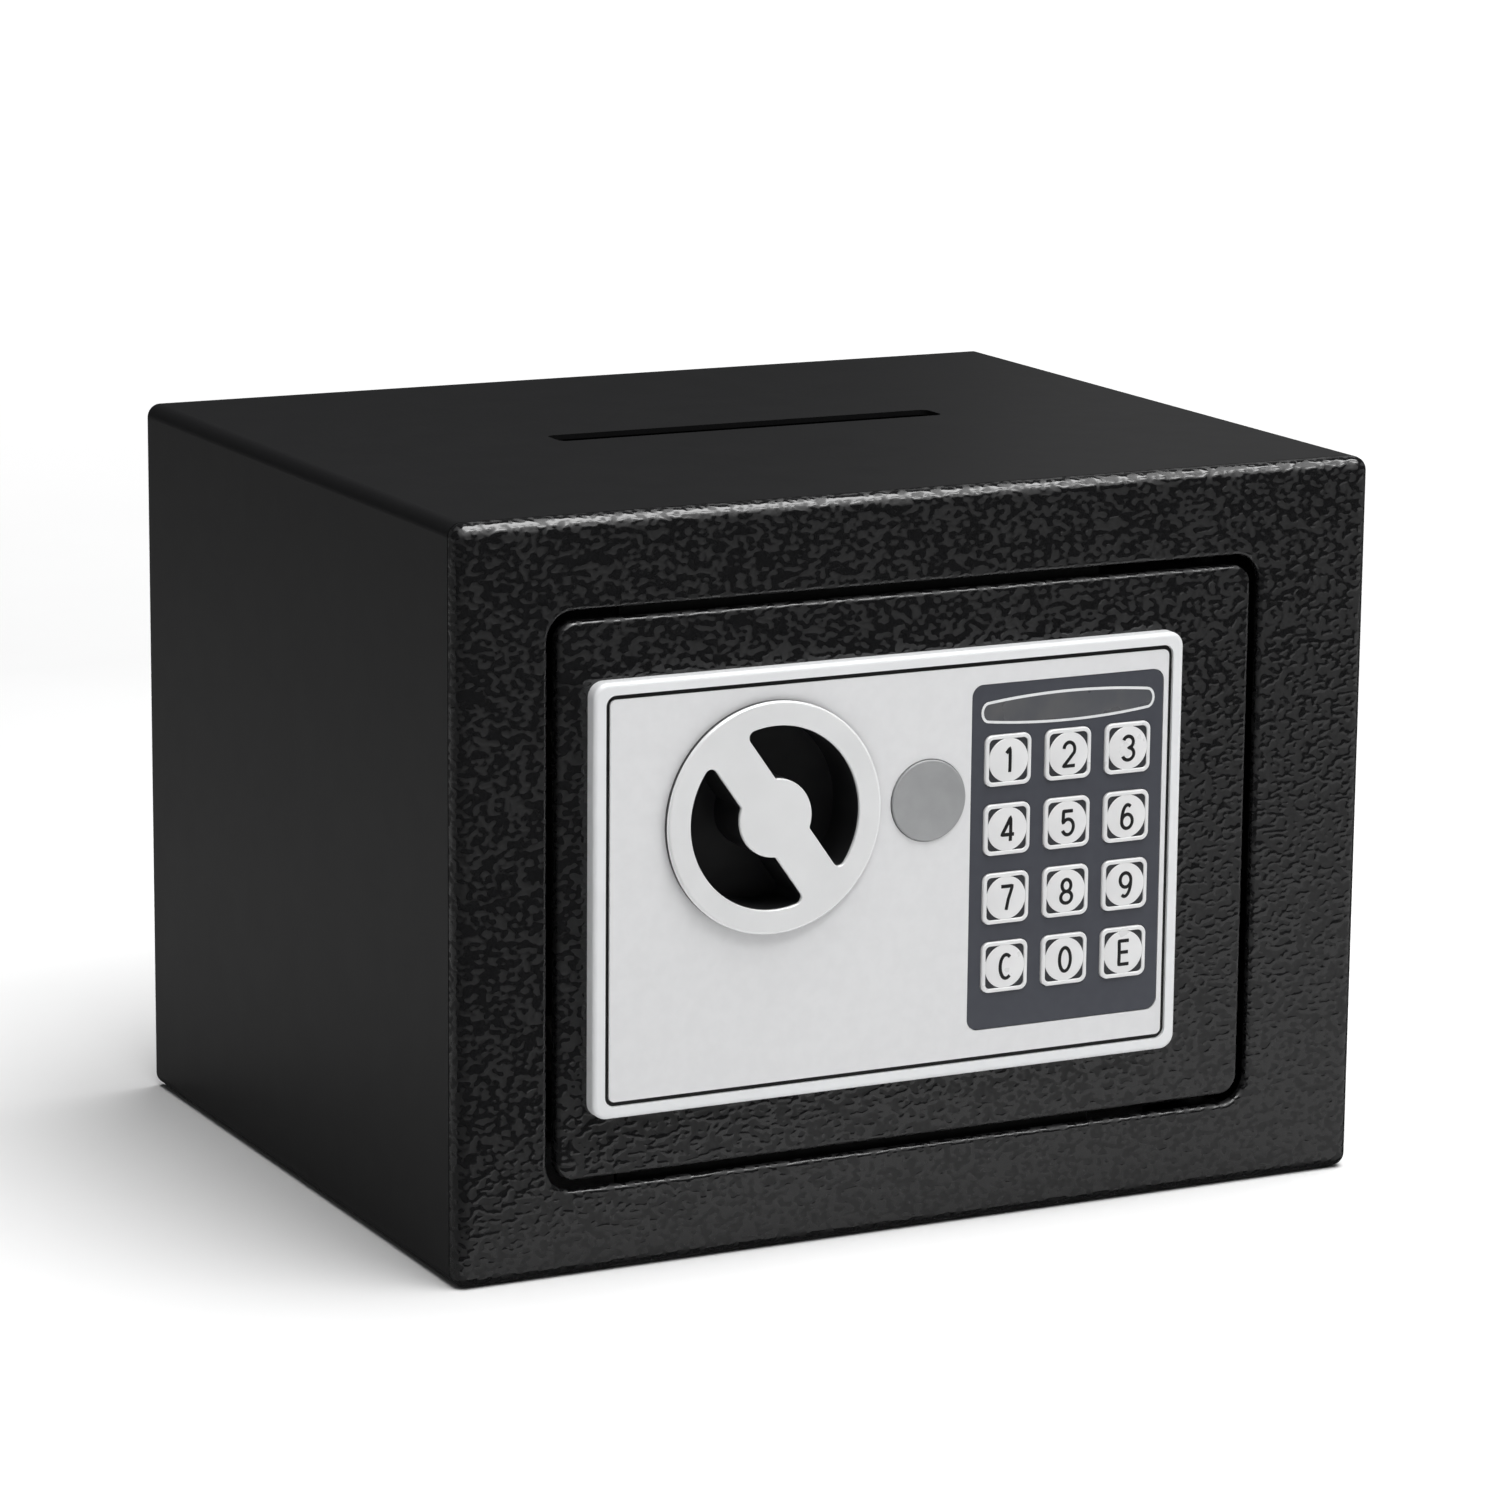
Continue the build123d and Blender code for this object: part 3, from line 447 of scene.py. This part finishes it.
def key_shell(name, centre, front, back):
    """The key's moulded body: soft outer edge, flat border, sunk middle."""
    rim = front + RIM_SETBACK
    profile = (
        (0.0, back), (0.0, rim + 0.30), (0.07, rim + 0.13), (0.22, rim + 0.02), (0.36, rim),
        (KEY_BORDER - 0.12, rim), (KEY_BORDER, rim + 0.10), (KEY_BORDER + 0.03, rim + 0.45),
    )
    loops = []
    for inset, y in profile:
        size = KEY_SIZE - 2 * inset
        loops.append((rounded_loop(size, size, max(0.5, KEY_CORNER - inset * 0.8)), y))
    return stacked(name, loops, centre)


def key_recess(name, centre, front):
    """The dark sheet at the bottom of the key's sunk middle."""
    size = KEY_SIZE - 2 * (KEY_BORDER + 0.05)
    outline = rounded_loop(size, size, 1.1)
    return stacked(name, [(outline, front + 0.74), (outline, front + 0.56)], centre)


def key_dome(name, centre, front):
    """The round, softly domed top."""
    rim_y = front + DOME_RISE
    loops = [(round_loop(DOME_R), front + 0.70), (round_loop(DOME_R), rim_y + 0.06)]
    for part in (0.985, 0.93, 0.84, 0.72, 0.58, 0.42, 0.26, 0.1):
        radius = DOME_R * part
        loops.append((round_loop(radius), dome_y(radius, 0.0, rim_y)))
    return stacked(name, loops, centre)


for label, strokes in GLYPHS.items():
    key = "key_" + label
    middle = node_centre(key)
    front, back = node_front(key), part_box(key)[1][1] / MM
    shell_mesh = key_shell(key + "_shell", middle, front, back - 0.6)
    recess_mesh = key_recess(key + "_recess", middle, front)
    dome_mesh = key_dome(key + "_dome", middle, front)
    print_mesh = glyph_mesh(key + "_print", strokes, middle, front + DOME_RISE - 0.01)
    shell = new_piece(key + "_shell", shell_mesh, FINISHES["key_silver"], key)
    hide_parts(key)
    new_piece(key + "_recess", recess_mesh, KEY_RECESS, key)
    new_piece(key + "_dome", dome_mesh, FINISHES["key_silver"], key)
    new_piece(key + "_print", print_mesh, PRINT_BLACK, key)


# ---------------------------------------------------------------- printed line round the status window
WINDOW_END_R, WINDOW_BOW = 1.8, 1.2
LINE_INNER, LINE_OUTER = -0.45, 0.15


def window_loop(grow, per_side=24, per_end=10):
    """The window's outline: bowed long sides and round ends, in millimetres round its middle."""
    low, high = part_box("status_window")
    half_w, half_h = (high[0] - low[0]) / 2 / MM, (high[2] - low[2]) / 2 / MM
    end_x, end_z = half_w - WINDOW_END_R, half_h - WINDOW_BOW
    loop = []
    for sign in (1, -1):
        for step in range(per_end):
            angle = math.radians(-90 + 180 * step / per_end)
            x = end_x + (WINDOW_END_R + grow) * math.cos(angle)
            loop.append((sign * x, sign * (end_z + grow) * math.sin(angle)))
        for step in range(per_side):
            x = end_x * (1 - 2 * step / per_side)
            bow = (half_h - end_z) * (1 - (x / end_x) ** 2)
            loop.append((sign * x, sign * (end_z + grow + bow)))
    return loop


def window_line():
    """A thin raised ring along the window's edge."""
    front = node_front("status_window")
    inner, outer = window_loop(LINE_INNER), window_loop(LINE_OUTER)
    loops = [(outer, front + 0.12), (outer, front - 0.03), (inner, front - 0.05), (inner, front + 0.12)]
    middle = node_centre("status_window")
    return stacked("window_line", loops, middle, cap_first=False, cap_last=False)


new_piece("window_line", window_line(), PRINT_WHITE, "door")


# ---------------------------------------------------------------- felt mat
def felt_mat():
    """The mat as felt: even thickness, soft edges, a slightly uneven face."""
    mesh = NODES["floor_mat"].data.copy()
    mesh.materials.clear()
    mat = new_piece("felt_mat", mesh, FINISHES["felt"], "cabinet")
    remesh = mat.modifiers.new("even", "REMESH")
    remesh.mode = "VOXEL"
    remesh.voxel_size = 0.8 * MM
    smooth = mat.modifiers.new("soft", "SMOOTH")
    smooth.iterations = 3
    bpy.context.view_layer.update()
    depsgraph = bpy.context.evaluated_depsgraph_get()
    made = bpy.data.meshes.new_from_object(mat.evaluated_get(depsgraph))
    mat.modifiers.clear()
    mat.data = made
    made.shade_smooth()
    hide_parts("floor_mat")


felt_mat()


# ---------------------------------------------------------------- studio
SENSOR_MM, LENS_MM = 36.0, 135.9
# From the front frame's lower left corner, in metres; then azimuth, pitch and roll in degrees.
CAMERA_OFFSET = (-0.477, -1.088, 0.3805)
CAMERA_TURN = (26.71, 12.29, 0.53)

FLOOR_HALF, FLOOR_DROP, CARD_LIFT = 30.0, 0.0002, 0.0004
# Painted light on the floor: distance where its glow starts, distance where it is full, and its strength.
GLOW_STARTS_MM, GLOW_FULL_MM, GLOW = 600.0, 2000.0, 0.85

# The cards stop just outside the cabinet's front and left side.
CARD_Y, CARD_X, CARD_FAR = -0.0915, -0.1155, 2.5
FRONT_CARD = (
    (-0.13, CARD_Y, 0.0), (-0.094, -0.131, 0.0), (0.26, -0.38, 0.0), (0.9, -0.85, 0.0),
    (CARD_FAR, -0.85, 0.0), (CARD_FAR, CARD_Y, 0.0),
)  # fmt: skip
SIDE_CARD = (
    (-CARD_FAR, CARD_Y, 0.0), (CARD_X, CARD_Y, 0.0), (CARD_X, 3.0, 0.0), (-CARD_FAR, 3.0, 0.0),
)  # fmt: skip
FRONT_CARD_GREY, SIDE_CARD_GREY = 0.36, 0.16

# Name, place, target, size, watts.
SOFTBOXES = (
    ("overhead", (0.2, -0.1, 1.4), (0.1, 0.0, 0.0), (1.35, 1.0), 22.0),
    ("edge_strip", (0.2, -0.8, 1.3), (0.0, 0.0, 0.1), (1.6, 0.24), 7.0),
    ("key_light", (-1.5, -1.9, 1.3), (0.0, 0.0, 0.08), (1.1, 1.1), 1.5),
    ("back_glow", (2.1, 2.1, 0.9), (0.0, 0.0, 0.1), (1.6, 1.4), 0.7),
)
SUN_DIRECTION, SUN_STRENGTH, SUN_DEGREES = (-0.25, 0.35, -1.0), 1.1, 70.0
WORLD_COLOUR, WORLD_STRENGTH = (0.97, 0.98, 1.0, 1.0), 0.036


def look_rotation(azimuth, pitch, roll):
    """Camera rotation: azimuth from +Y towards +X, pitch down, roll, all in degrees."""
    a, p, r = (math.radians(v) for v in (azimuth, pitch, roll))
    forward = Vector((math.sin(a) * math.cos(p), math.cos(a) * math.cos(p), -math.sin(p)))
    right = Vector((math.cos(a), -math.sin(a), 0.0))
    up = right.cross(forward)
    turned_right = math.cos(r) * right + math.sin(r) * up
    turned_up = -math.sin(r) * right + math.cos(r) * up
    return Matrix((turned_right, turned_up, -forward)).transposed()


def add_camera():
    low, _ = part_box("front_frame")
    data = bpy.data.cameras.new("camera")
    data.sensor_width = SENSOR_MM
    data.lens = LENS_MM
    camera = bpy.data.objects.new("camera", data)
    bpy.context.scene.collection.objects.link(camera)
    place = Vector((low[0], low[1], 0.0)) + Vector(CAMERA_OFFSET)
    camera.matrix_world = Matrix.Translation(place) @ look_rotation(*CAMERA_TURN).to_4x4()
    bpy.context.scene.camera = camera


def add_softbox(name, place, target, size, watts):
    light = bpy.data.lights.new(name, "AREA")
    light.shape = "RECTANGLE"
    light.size, light.size_y = size
    light.energy = watts
    box = bpy.data.objects.new(name, light)
    box.visible_camera = False
    bpy.context.scene.collection.objects.link(box)
    box.location = place
    box.rotation_mode = "QUATERNION"
    box.rotation_quaternion = (Vector(target) - Vector(place)).to_track_quat("-Z", "Y")


def add_sun(name, direction, strength, degrees):
    """A very soft overall light, so that the floor stays pale to the horizon."""
    light = bpy.data.lights.new(name, "SUN")
    light.energy = strength
    light.angle = math.radians(degrees)
    sun = bpy.data.objects.new(name, light)
    bpy.context.scene.collection.objects.link(sun)
    sun.rotation_mode = "QUATERNION"
    sun.rotation_quaternion = Vector(direction).to_track_quat("-Z", "Y")


def paint_glow_far_off(paint):
    """The white sweep is lit from behind the object; that light is painted here: the floor glows a little
    with distance.
    """
    tree = paint.node_tree
    shader = tree.nodes["Principled BSDF"]
    shader.inputs["Emission Color"].default_value = (1.0, 1.0, 1.0, 1.0)
    away = tree.nodes.new("ShaderNodeVectorMath")
    away.operation = "LENGTH"
    tree.links.new(millimetre_coordinates(tree), away.inputs[0])
    glow = remap(tree, away.outputs["Value"], GLOW_STARTS_MM, GLOW_FULL_MM, 0.0, GLOW)
    tree.links.new(glow, shader.inputs["Emission Strength"])


def add_floor():
    half = FLOOR_HALF
    corners = [(-half, -half, 0.0), (half, -half, 0.0), (half, half, 0.0), (-half, half, 0.0)]
    mesh = mesh_from("floor", corners, [(0, 1, 2, 3)], smooth=False)
    floor = bpy.data.objects.new("floor", mesh)
    bpy.context.scene.collection.objects.link(floor)
    paint = finish("floor_paint", (0.86, 0.86, 0.86), 0.8, specular=0.1, mottle=((0.85, 0.85, 0.85), 0.01))
    paint_glow_far_off(paint)
    floor.data.materials.append(paint)
    floor.location.z = -FLOOR_DROP
    floor.visible_glossy = False


def add_card(name, corners, grey):
    """A patch of the pale table as the glossy paint sees it. It shows only in reflections."""
    mesh = mesh_from(name, corners, [range(len(corners))], smooth=False)
    card = bpy.data.objects.new(name, mesh)
    bpy.context.scene.collection.objects.link(card)
    card.data.materials.append(finish(name, (grey, grey, grey), 0.9))
    card.location.z = CARD_LIFT
    for ray in ("visible_camera", "visible_diffuse", "visible_transmission", "visible_shadow"):
        setattr(card, ray, False)


def add_world():
    world = bpy.data.worlds.new("studio")
    bpy.context.scene.world = world
    world.use_nodes = True
    background = world.node_tree.nodes["Background"]
    background.inputs["Color"].default_value = WORLD_COLOUR
    background.inputs["Strength"].default_value = WORLD_STRENGTH


add_camera()
add_world()
add_floor()
add_card("front_card", FRONT_CARD, FRONT_CARD_GREY)
add_card("side_card", SIDE_CARD, SIDE_CARD_GREY)
for softbox in SOFTBOXES:
    add_softbox(*softbox)
add_sun("sky", SUN_DIRECTION, SUN_STRENGTH, SUN_DEGREES)
bpy.context.scene.view_settings.view_transform = "Standard"
